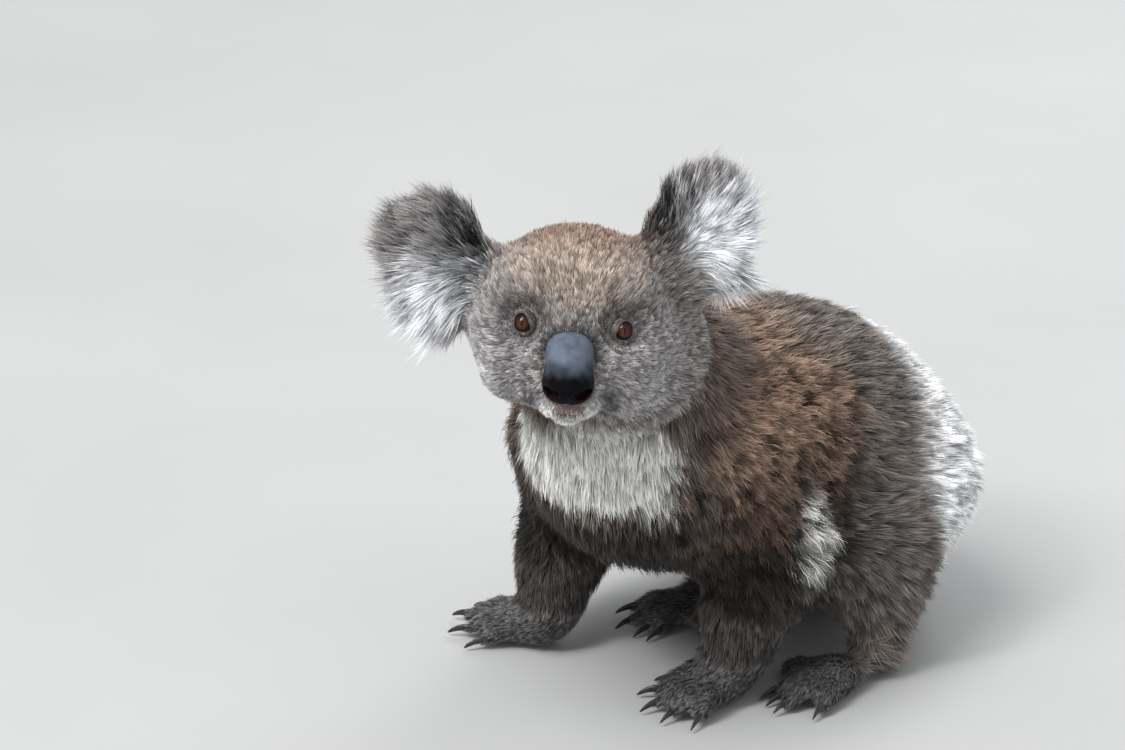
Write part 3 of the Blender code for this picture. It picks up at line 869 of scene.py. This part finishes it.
eye_glass = finish("Painted glass eye", eye_surface)
for side in ("left", "right"):
    ball = eye_ball(side)
    ball.data.materials.append(eye_glass)
    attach(ball, "root")
    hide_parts(f"eye_{side}")


# ---- Nose ----
# The bare leathery pad from between the eyes to the lips: slate blue above, partly its own colour and
# partly a painted reflection of the light from above, black below, with two comma-shaped nostrils at its
# lower corners. It is set into the face.
NOSE_GRAIN, NOSE_ROOM = 0.6 * MM, 10  # and how many grains of room there are round the solid
NOSE_TOP, NOSE_FOOT = np.array((17.0, 0, -16.8)), np.array((23.0, 0, -29))
TOP_RADIUS, FOOT_RADIUS = 16.3, 15.8
NOSE_SQUARE = 2.3  # 2 makes it round, more squares its corners off
WING_PLACE, WING_RADIUS = (25.0, 5.0, -35.8), 10.8
# on each side a round hole and a slit that runs up and out from it: their middles and radii
NOSTRILS = [
    (np.array(place) * (1, way, 1), radii) for way in (-1, 1)
    for place, radii in (((35.0, 9.0, -40.0), (8.0, 4.2, 3.0)), ((30.0, 13.2, -37.0), (9.0, 2.6, 1.9)))
]


def egg_gap(places, centre, radii):
    """About how far outside an egg each place is, in millimetres."""
    return (off_egg(places, centre, radii) - 1) * min(radii)


def melt(a, b, width):
    """The union of two shapes, its crease filled over this width. Signs turned round, it cuts."""
    mix = np.clip(0.5 + 0.5 * (b - a) / width, 0, 1)
    return b * (1 - mix) + a * mix - width * mix * (1 - mix)


def nose_field(places):
    """How far outside the pad each place is: a bar with squared corners, two wings and four holes."""
    bar = NOSE_FOOT - NOSE_TOP
    share = np.clip(((places - NOSE_TOP) @ bar) / (bar @ bar), 0, 1)
    off = abs(places - NOSE_TOP - share[:, None] * bar)
    gap = (np.hypot(off[:, 0], 0.1) ** NOSE_SQUARE + (off[:, 1:] ** NOSE_SQUARE).sum(1)) ** (1 / NOSE_SQUARE)
    gap -= TOP_RADIUS + share * (FOOT_RADIUS - TOP_RADIUS)
    for way in (-1, 1):
        wing = length(places - np.array(WING_PLACE) * (1, way, 1)) - WING_RADIUS
        gap = melt(gap, wing, 6)
    for place, radii in NOSTRILS:
        gap = -melt(-gap, egg_gap(places, place, radii), 1.6)
    dent = ridge(places[:, 1], 1.3) * ramp(-places[:, 2], 38, 43)
    return gap + 0.7 * dent


def nose_pad():
    low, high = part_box("nose_pad")
    start = [int(v / NOSE_GRAIN) - NOSE_ROOM for v in low]
    counts = [int((h - l) / NOSE_GRAIN) + 2 * NOSE_ROOM for l, h in zip(low, high)]
    steps = np.stack(np.meshgrid(*(np.arange(n) for n in counts), indexing="ij"), -1)
    places = ((steps + start) * NOSE_GRAIN).reshape(-1, 3)
    field = nose_field(in_head(places)).reshape(counts) * MM
    pad = mesh_object("nose", *surface_of(field, start, NOSE_GRAIN))
    move_points(pad.data, eased(pad.data, points_of(pad.data), 2))
    return pad


# the slate is partly the pad's own colour and partly a painted reflection of the light from above
NOSE_BLACK, NOSE_SLATE_AND_SHEEN = (0.004, 0.004, 0.005, 1), (0.112, 0.136, 0.178, 1)
NOSTRIL_RED = (0.035, 0.010, 0.008, 1)


def nose_surface(tree):
    slate = mixed(tree, read(tree, "shade"), NOSE_BLACK, NOSE_SLATE_AND_SHEEN)
    slate = scaled(tree, slate, spread(tree, lumps(tree, 160, 4.0), 0.3, 0.7, 0.75, 1.25))
    colour = mixed(tree, read(tree, "inside"), slate, NOSTRIL_RED)
    place = put(tree, "ShaderNodeTexCoord", output="Object")
    pebble = put(tree, "ShaderNodeTexVoronoi", {"Vector": place, "Scale": 900.0}, feature="SMOOTH_F1")
    bump = bumpy(tree, pebble, 0.25, 0.35 * MM)
    bump = bumpy(tree, lumps(tree, 260), 0.3, 0.5 * MM, Normal=bump)
    return {"Base Color": colour, "Roughness": 0.4, "Specular IOR Level": 0.05, "Normal": bump}


pad = nose_pad()
pad_places = in_head(points_of(pad.data))
inside = np.zeros(len(pad_places))
pad_mottle = 2.5 * np.array([noise.noise(Vector(place) / 5) for place in pad_places])
for place, radii in NOSTRILS:
    inside = np.maximum(inside, ramp(-egg_gap(pad_places, place, radii), -0.3, 0.3))
# slate towards the top, black below: partly painted reflection of the light from above
keep(pad.data, "shade", ramp(pad_places[:, 2] + pad_mottle, -31, -17) ** 1.4)
keep(pad.data, "inside", inside)
pad.data.materials.append(finish("Nose leather", nose_surface))
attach(pad, "root")
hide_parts("nose_pad")


# ---- Claws ----
# Black horn hooks, one to a finger and to each toe but the first. Each is its own piece, set in the
# end of its digit and ground smooth.
def claw(node):
    bm = bmesh.new()
    bm.from_mesh(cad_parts[node].data)
    bmesh.ops.remove_doubles(bm, verts=bm.verts, dist=1e-6)
    horn = object_of(bm, f"horn_{node}")
    smooth = horn.modifiers.new("Ground smooth", "SUBSURF")
    smooth.levels = smooth.render_levels = 2
    return horn


HORN_BLACK, HORN_BROWN = (0.012, 0.010, 0.010, 1), (0.06, 0.052, 0.046, 1)


def horn_surface(tree):
    streaks = lumps(tree, 500, 4.0, (1, 1, 0.2))
    colour = mixed(tree, spread(tree, streaks, 0.35, 0.75, 0, 1), HORN_BLACK, HORN_BROWN)
    return {"Base Color": colour, "Roughness": 0.3, "Normal": bumpy(tree, streaks, 0.2, 0.2 * MM)}


claw_horn = finish("Claw horn", horn_surface)
for node in sorted(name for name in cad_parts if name.startswith("claw")):
    horn = claw(node)
    horn.data.materials.append(claw_horn)
    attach(horn, "root")
    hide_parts(node)


# ---- Fur ----
# Thin tapering blades of hair, each rooted in the hide and laid along the lie of the coat, their tips
# drawn together into locks. Every zone of the coat is a piece of its own.
def blade(name, rows):
    """A blade of hair one unit long and broad, tapering to a point, and bowed by one unit."""
    points = [(half * way, along, 4 * along * (1 - along)) for along, half in rows for way in (-1, 1)]
    points.append((0, 1, 0))
    tip = len(points) - 1
    faces = [(i, i + 1, i + 3, i + 2) for i in range(0, tip - 2, 2)]
    faces.append((tip - 2, tip - 1, tip))
    obj = mesh_object(name, points, faces)
    for attribute, axis in (("across", 0), ("along", 1)):
        keep(obj.data, attribute, [point[axis] for point in points])
    return obj


BLADES = {
    "short": blade("short_blade", ((0, 0.5), (0.55, 0.4))),
    "long": blade("long_blade", ((0, 0.5), (0.35, 0.5), (0.7, 0.34))),
}
PATCH = 0.003  # how much of the unwrap each tuft covers
FLOOR_GAP = 0.5 * MM  # how far over the floor the lowest blades stay


def fur_tree():
    tree = bpy.data.node_groups.new("Fur", "GeometryNodeTree")
    for name, socket_type in (
        ("Skin", "Geometry"), ("Blade", "Object"), ("Fur Finish", "Material"), ("Zone", "Int"),
        ("Blades per Square Metre", "Float"), ("Locks per Square Metre", "Float"), ("Gather", "Float"),
        ("Stray", "Float"), ("Ruffle", "Float"), ("Bow", "Float"), ("Mingle", "Float"),
    ):
        tree.interface.new_socket(name, in_out="INPUT", socket_type=f"NodeSocket{socket_type}")
    tree.interface.new_socket("Fur", in_out="OUTPUT", socket_type="NodeSocketGeometry")
    given = tree.nodes.new("NodeGroupInput").outputs

    def geometry(kind_of, inputs=(), **settings):
        return put(tree, f"GeometryNode{kind_of}", inputs, **settings)

    def value(name, data_type="FLOAT"):
        return geometry("InputNamedAttribute", {"Name": name}, data_type=data_type)

    def vector(operation, *inputs):
        return put(tree, "ShaderNodeVectorMath", enumerate(inputs), operation=operation)

    def chance(low, high, seed, **more):
        kind_of = "FLOAT_VECTOR" if isinstance(low, tuple) else "FLOAT"
        return put(tree, "FunctionNodeRandomValue", {"Min": low, "Max": high, "Seed": seed, **more},
                   data_type=kind_of)

    def any_way(seed, **more):
        return chance((-1, -1, -1), (1, 1, 1), seed, **more)

    def store(where, name, what, data_type="FLOAT", domain="POINT"):
        return geometry("StoreNamedAttribute", {"Geometry": where, "Name": name, "Value": what},
                        data_type=data_type, domain=domain)

    # roots over the zone, and locks over the whole skin, each blade's being the nearest
    here = put(tree, "FunctionNodeCompare", {"A": value("zone", "INT"), "B": given["Zone"]},
               data_type="INT", operation="EQUAL")
    density = product(tree, given["Blades per Square Metre"], value("thick"))
    roots = geometry("DistributePointsOnFaces", {
        "Mesh": given["Skin"], "Selection": here, "Density": density, "Seed": 4})
    outwards = roots.node.outputs["Normal"]
    locks = geometry("DistributePointsOnFaces", {
        "Mesh": given["Skin"], "Density": given["Locks per Square Metre"], "Seed": 9})
    place = geometry("InputPosition")
    lock = geometry("SampleNearest", {"Geometry": locks, "Sample Position": place})
    lock_place = geometry("SampleIndex", {"Geometry": locks, "Value": place, "Index": lock},
                          data_type="FLOAT_VECTOR")
    lock_luck = chance(0.0, 1.0, 21, ID=lock)
    luck = chance(0.0, 1.0, 22)
    # how each blade lies: along the coat and up, off by luck, and drawn towards its lock
    long = product(tree, chance(0.7, 1.15, 31), chance(0.85, 1.15, 41, ID=lock), value("long"))
    least, most = (arithmetic(tree, operation, 1.0, given["Ruffle"]) for operation in ("SUBTRACT", "ADD"))
    rise = product(tree, chance(0.55, 1.2, 32), chance(least, most, 42, ID=lock), value("rise"))
    lay = scaled(tree, value("combed", "FLOAT_VECTOR"), long)
    lift = scaled(tree, outwards, rise)
    swing = vector("ADD", any_way(33), any_way(43, ID=lock))
    swing = scaled(tree, swing, product(tree, given["Stray"], long))
    gathered = scaled(tree, vector("SUBTRACT", lock_place, place), given["Gather"])
    lay = vector("ADD", vector("ADD", lay, lift), vector("ADD", swing, gathered))
    tilted = vector("ADD", outwards, vector("MULTIPLY", any_way(34), (0.5, 0.5, 0.5)))
    turn = put(tree, "FunctionNodeAxesToRotation", {"Primary Axis": lay, "Secondary Axis": tilted},
               primary_axis="Y", secondary_axis="Z")
    reach = vector("LENGTH", lay)
    size = put(tree, "ShaderNodeCombineXYZ", {
        "X": product(tree, value("broad"), chance(0.6, 1.3, 35)), "Y": reach,
        "Z": product(tree, given["Bow"], chance(0.5, 1.4, 36), reach),
    })
    # its colours come from a little way off, so that markings mingle where they meet
    off = scaled(tree, vector("ADD", any_way(51), any_way(52, ID=lock)), given["Mingle"])
    off = vector("ADD", place, off)
    marked = store(store(roots, "luck", luck), "lock_luck", lock_luck)
    for name in ("coat", "tip"):
        colour = geometry("SampleNearestSurface", {
            "Mesh": given["Skin"], "Value": value(name, "FLOAT_COLOR"), "Sample Position": off,
        }, data_type="FLOAT_COLOR")
        marked = store(marked, name, colour, "FLOAT_COLOR")
    # the blades themselves, kept off the floor, each with its own small place on the skin's unwrap
    hair = geometry("ObjectInfo", {"Object": given["Blade"]}, output="Geometry")
    hairs = geometry("InstanceOnPoints", {
        "Points": marked, "Instance": hair, "Rotation": turn, "Scale": size})
    fur = geometry("RealizeInstances", {"Geometry": hairs})
    above_floor = vector("MAXIMUM", place, (-9, -9, FLOOR_GAP))
    fur = geometry("SetPosition", {"Geometry": fur, "Position": above_floor})
    middle_out = arithmetic(tree, "SUBTRACT", value("along"), 0.5)
    spot = put(tree, "ShaderNodeCombineXYZ", {"X": value("across"), "Y": middle_out})
    spot = vector("ADD", value("OFBake", "FLOAT_VECTOR"), vector("MULTIPLY", spot, (PATCH, PATCH, 0)))
    fur = store(fur, "OFBake", spot, "FLOAT2", "CORNER")
    fur = geometry("SetMaterial", {"Geometry": fur, "Material": given["Fur Finish"]})
    tree.links.new(fur, tree.nodes.new("NodeGroupOutput").inputs["Fur"])
    return tree


def fur_surface(tree):
    along, luck, lock_luck = (read(tree, name) for name in ("along", "luck", "lock_luck"))
    # darker towards the roots: partly the hair's own darker base, partly painted shade deep in the coat
    root_shade = spread(tree, along, 0.05, 0.75, 0.16, 1.25)
    hair_shade = spread(tree, luck, 0, 1, 0.65, 1.35)
    lock_shade = product(tree, arithmetic(tree, "SUBTRACT", lock_luck, 0.5), read(tree, "fleck"))
    shade = product(tree, root_shade, hair_shade, arithmetic(tree, "ADD", lock_shade, 1.0))
    to_tip = spread(tree, along, 0.45, 0.95, 0, 1)
    colour = mixed(tree, to_tip, read(tree, "coat", "Color"), read(tree, "tip", "Color"))
    return {
        "Base Color": scaled(tree, colour, shade), "Roughness": 0.7,
        "Specular IOR Level": 0.25, "Sheen Weight": 0.15, "Sheen Roughness": 0.4,
    }


FUR_FINISH = finish("Koala fur", fur_surface)
FUR_TREE = fur_tree()
for hair in BLADES.values():
    hair.data.materials.append(FUR_FINISH)
LAYERS_KEPT = {"coat", "tip", "along", "luck", "lock_luck", "fleck", "OFBake"}


def coat_piece(name, zone, blades, lock_gap, gather, stray=0.10, ruffle=0.35, bow=0.10, mingle=4.0,
               kind_of="short", slot="coat_grey"):
    """The fur of one zone, with about this many blades, in locks this many millimetres apart."""
    piece = placed(name, skin.data)
    settings = {
        "Blade": BLADES[kind_of], "Fur Finish": FUR_FINISH, "Zone": zone, "Gather": gather, "Stray": stray,
        "Ruffle": ruffle, "Bow": bow, "Mingle": mingle * MM,
        "Blades per Square Metre": blades / max(zone_area[zone], 1e-6),
        "Locks per Square Metre": 1 / (lock_gap * MM) ** 2,
    }
    grow = piece.modifiers.new("Fur", "NODES")
    grow.node_group = FUR_TREE
    for item in FUR_TREE.interface.items_tree:
        if item.in_out == "INPUT" and item.name in settings:
            grow[item.identifier] = settings[item.name]
    bpy.context.view_layer.update()
    evaluated = piece.evaluated_get(bpy.context.evaluated_depsgraph_get())
    mesh = bpy.data.meshes.new_from_object(evaluated)
    mesh.name = name
    piece.modifiers.remove(grow)
    piece.data = mesh
    for layer in [layer.name for layer in mesh.attributes if not layer.is_internal and not layer.is_required]:
        if layer not in LAYERS_KEPT:
            mesh.attributes.remove(mesh.attributes[layer])
    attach(piece, "root")


ZONES = {
    "face": dict(blades=64000, lock_gap=2.4, gather=0.2, stray=0.07, ruffle=0.1, bow=0.05, mingle=1.5),
    "crown": dict(blades=36000, lock_gap=3.0, gather=0.35, ruffle=0.2),
    "ear_left": dict(blades=23000, lock_gap=4.0, gather=0.45, stray=0.19, kind_of="long"),
    "ear_right": dict(blades=22000, lock_gap=4.0, gather=0.45, stray=0.19, kind_of="long"),
    "bib": dict(blades=28000, lock_gap=5.0, gather=0.4, kind_of="long", slot="coat_pale"),
    "shoulder_left": dict(blades=52000, lock_gap=4.6, gather=0.78, stray=0.22, bow=0.22, slot="coat_brown"),
    "shoulder_right": dict(blades=34000, lock_gap=4.6, gather=0.78, stray=0.22, bow=0.22, slot="coat_brown"),
    "forelegs": dict(blades=36000, lock_gap=3.5, gather=0.4),
    "belly": dict(blades=20000, lock_gap=6.0, gather=0.5, slot="coat_brown"),
    "thigh_left": dict(blades=42000, lock_gap=5.0, gather=0.5, slot="coat_brown"),
    "thigh_right": dict(blades=32000, lock_gap=5.0, gather=0.5, slot="coat_brown"),
    "rump": dict(blades=42000, lock_gap=5.0, gather=0.4, slot="coat_pale"),
    "feet": dict(blades=14000, lock_gap=2.5, gather=0.25),
}
FACE_FROM = -32  # the crown's zone gives way to the face's this far ahead of the eyes
ZONE_OF_KIND = {
    "head": "crown", "neck": "bib", "chest": "belly", "belly": "belly", "rump": "rump", "forearm": "forelegs",
    "hand": "forelegs", "foot": "feet",
}


def zone_of(node):
    side = node.rsplit("_", 1)[-1]
    if kind(node) == "upper_arm":
        return f"shoulder_{side}"
    return node if kind(node) in ("ear", "thigh") else ZONE_OF_KIND[kind(node)]


zone_names = list(ZONES)
point_zone = np.array([zone_names.index(zone_of(node)) for node in FLESH])[belonging.argmax(1)]
facing = (point_zone == zone_names.index("crown")) & (ahead > FACE_FROM)
point_zone[facing] = zone_names.index("face")
first_corners = np.array([face.vertices[0] for face in skin.data.polygons])
face_zone = point_zone[first_corners]
keep(skin.data, "zone", face_zone, "INT", "FACE")
face_area = np.empty(len(face_zone), np.float32)
skin.data.polygons.foreach_get("area", face_area)
zone_area = np.bincount(face_zone, face_area * thick[first_corners], len(zone_names))
for zone, (name, settings) in enumerate(ZONES.items()):
    coat_piece(f"fur_{name}", zone, **settings)
for hair in BLADES.values():
    bpy.data.objects.remove(hair)


# ---- Studio ----
# A wide pale floor that the feet stand on, soft lamps above and to the sides, and the camera in front
# of the animal's left shoulder, a little above her.
FLOOR_HALF, FLOOR_GREY = 10.0, (0.50, 0.50, 0.495)
floor_corners = [(x * FLOOR_HALF, y * FLOOR_HALF, 0) for x, y in ((-1, -1), (1, -1), (1, 1), (-1, 1))]
floor = mesh_object("floor", floor_corners, [(0, 1, 2, 3)])


def floor_surface(tree):
    shade = spread(tree, lumps(tree, 3.0), 0.3, 0.7, 0.97, 1.03)
    return {"Base Color": scaled(tree, FLOOR_GREY, shade), "Roughness": 0.75}


floor.data.materials.append(finish("Pale floor", floor_surface))


def face_towards(obj, target):
    obj.rotation_euler = (Vector(target) - obj.location).to_track_quat("-Z", "Y").to_euler()


def lamp(name, kind_of, place, energy, **settings):
    """A lamp that shines on the middle of the animal."""
    light = bpy.data.lights.new(name, kind_of)
    light.energy = energy
    for setting, value in settings.items():
        setattr(light, setting, value)
    obj = placed(name, light)
    obj.location = place
    face_towards(obj, (cad_low + cad_high) / 2)


lamp("key", "AREA", (-0.3, -1.9, 2.2), 30, shape="DISK", size=0.75)
lamp("rim", "AREA", (-0.4, 2.0, 1.9), 18, shape="DISK", size=1.2)
lamp("sky", "SUN", (-0.2, -1.4, 3.0), 1.55, angle=radians(30))
world = bpy.data.worlds.new("Studio")
world.use_nodes = True
WORLD_COLOUR, WORLD_STRENGTH = (0.88, 0.90, 0.93, 1), 0.70
backdrop = world.node_tree.nodes["Background"].inputs
backdrop["Color"].default_value, backdrop["Strength"].default_value = WORLD_COLOUR, WORLD_STRENGTH
bpy.context.scene.world = world
bpy.context.scene.view_settings.view_transform = "Standard"

CAMERA_TURN, CAMERA_TILT, CAMERA_FAR = radians(41), radians(22), 3.4
LENS, SENSOR = 155.4, 36
FRAME_MIDDLE = Vector(eye_middle) + Vector((-0.1456, 0.1578, -0.1213))  # what the camera looks at
level = cos(CAMERA_TILT)
towards_camera = Vector((sin(CAMERA_TURN) * level, -cos(CAMERA_TURN) * level, sin(CAMERA_TILT)))
camera = placed("camera", bpy.data.cameras.new("camera"))
camera.data.sensor_width, camera.data.lens = SENSOR, LENS
camera.location = FRAME_MIDDLE + towards_camera * CAMERA_FAR
face_towards(camera, FRAME_MIDDLE)
bpy.context.scene.camera = camera
